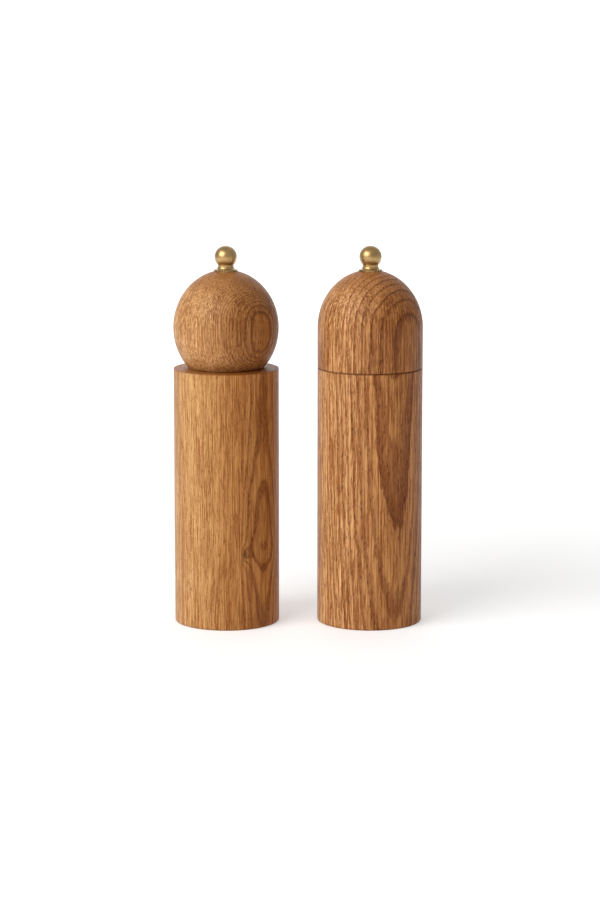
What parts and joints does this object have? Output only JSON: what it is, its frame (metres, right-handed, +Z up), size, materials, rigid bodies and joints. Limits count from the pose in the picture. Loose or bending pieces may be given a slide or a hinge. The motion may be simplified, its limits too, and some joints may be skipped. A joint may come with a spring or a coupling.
{
  "type": "salt and pepper mills",
  "caption": "Turned oak salt mill with a ball head beside a pepper mill with a domed head, each with a brass ball knob and a burr grinder in its base.",
  "frame": {"origin": "on the surface that the mills stand on, midway between their centre lines", "axes": "+Z up, along both mills' centre lines; the salt mill is on the -X side and the pepper mill on +X"},
  "size_m": [0.142, 0.06, 0.2166],
  "materials": {
    "salt_body_oak": "oiled oak, turned with the grain upright, golden brown",
    "salt_head_oak": "oiled oak, turned to a ball, golden brown",
    "pepper_body_oak": "oiled oak, turned with the grain upright, red brown",
    "pepper_head_oak": "oiled oak, turned to a dome, red brown",
    "knob_brass": "satin, turned",
    "spindle_alloy": "drawn square bar",
    "plate_steel": "zinc plated, stamped",
    "screw_steel": "yellow zinc plated",
    "spring_steel": "drawn wire",
    "bush_nylon": "natural nylon",
    "salt_burr_ceramic": "unglazed, fine grained",
    "pepper_burr_steel": "case hardened, dark"
  },
  "bodies": {
    "salt_housing": {"salt_body": "salt_body_oak", "salt_bearing_spider": "plate_steel", "salt_stator": "salt_burr_ceramic", "salt_retaining_ring": "plate_steel", "salt_ring_screws": "screw_steel"},
    "salt_drive": {"salt_bearing_bush": "bush_nylon", "salt_spring": "spring_steel"},
    "salt_shaft": {"salt_spindle": "spindle_alloy", "salt_rotor": "salt_burr_ceramic", "salt_rotor_washer": "plate_steel", "salt_spindle_clip": "spring_steel"},
    "salt_top": {"salt_head": "salt_head_oak", "salt_drive_plate": "plate_steel", "salt_drive_plate_screws": "screw_steel"},
    "salt_washer": {"salt_knob_washer": "knob_brass"},
    "salt_knob": {"salt_knob": "knob_brass"},
    "pepper_housing": {"pepper_body": "pepper_body_oak", "pepper_bearing_spider": "plate_steel", "pepper_stator": "pepper_burr_steel", "pepper_retaining_ring": "plate_steel", "pepper_ring_screws": "screw_steel"},
    "pepper_drive": {"pepper_bearing_bush": "bush_nylon", "pepper_spring": "spring_steel"},
    "pepper_shaft": {"pepper_spindle": "spindle_alloy", "pepper_rotor": "pepper_burr_steel", "pepper_rotor_washer": "plate_steel", "pepper_spindle_clip": "spring_steel"},
    "pepper_top": {"pepper_head": "pepper_head_oak", "pepper_drive_plate": "plate_steel", "pepper_drive_plate_screws": "screw_steel"},
    "pepper_washer": {"pepper_knob_washer": "knob_brass"},
    "pepper_knob": {"pepper_knob": "knob_brass"}
  },
  "joints": [
    {"name": "salt_head_turn", "type": "hinge", "parent": "salt_housing", "child": "salt_drive", "pos_m": [-0.041, 0, 0], "axis": [0, 0, 1], "continuous": true},
    {"name": "salt_grind_adjust", "type": "slide", "parent": "salt_drive", "child": "salt_shaft", "axis": [0, 0, 1], "range_m": [-0.0012, 0], "deforming": ["salt_spring"]},
    {"name": "salt_head_lift", "type": "slide", "parent": "salt_drive", "child": "salt_top", "axis": [0, 0, 1], "range_m": [0, 0.08]},
    {"name": "salt_knob_off", "type": "slide", "parent": "salt_top", "child": "salt_washer", "axis": [0, 0, 1], "range_m": [0, 0.02]},
    {"name": "salt_knob_turn", "type": "hinge", "parent": "salt_washer", "child": "salt_knob", "pos_m": [-0.041, 0, 0], "axis": [0, 0, 1], "range_deg": [0, 540.01]},
    {"name": "pepper_head_turn", "type": "hinge", "parent": "pepper_housing", "child": "pepper_drive", "pos_m": [0.041, 0, 0], "axis": [0, 0, 1], "continuous": true},
    {"name": "pepper_grind_adjust", "type": "slide", "parent": "pepper_drive", "child": "pepper_shaft", "axis": [0, 0, 1], "range_m": [-0.0012, 0], "deforming": ["pepper_spring"]},
    {"name": "pepper_head_lift", "type": "slide", "parent": "pepper_drive", "child": "pepper_top", "axis": [0, 0, 1], "range_m": [0, 0.08]},
    {"name": "pepper_knob_off", "type": "slide", "parent": "pepper_top", "child": "pepper_washer", "axis": [0, 0, 1], "range_m": [0, 0.02]},
    {"name": "pepper_knob_turn", "type": "hinge", "parent": "pepper_washer", "child": "pepper_knob", "pos_m": [0.041, 0, 0], "axis": [0, 0, 1], "range_deg": [0, 540.01]},
    {"name": "pepper_mill_lift", "type": "slide", "parent": "salt_housing", "child": "pepper_housing", "axis": [0, 0, 1], "range_m": [0, 0.15]}
  ],
  "couplings": [
    {"joint": "salt_knob_turn", "follows": "salt_grind_adjust", "rad_per_m": -7854},
    {"joint": "pepper_knob_turn", "follows": "pepper_grind_adjust", "rad_per_m": -7854}
  ]
}
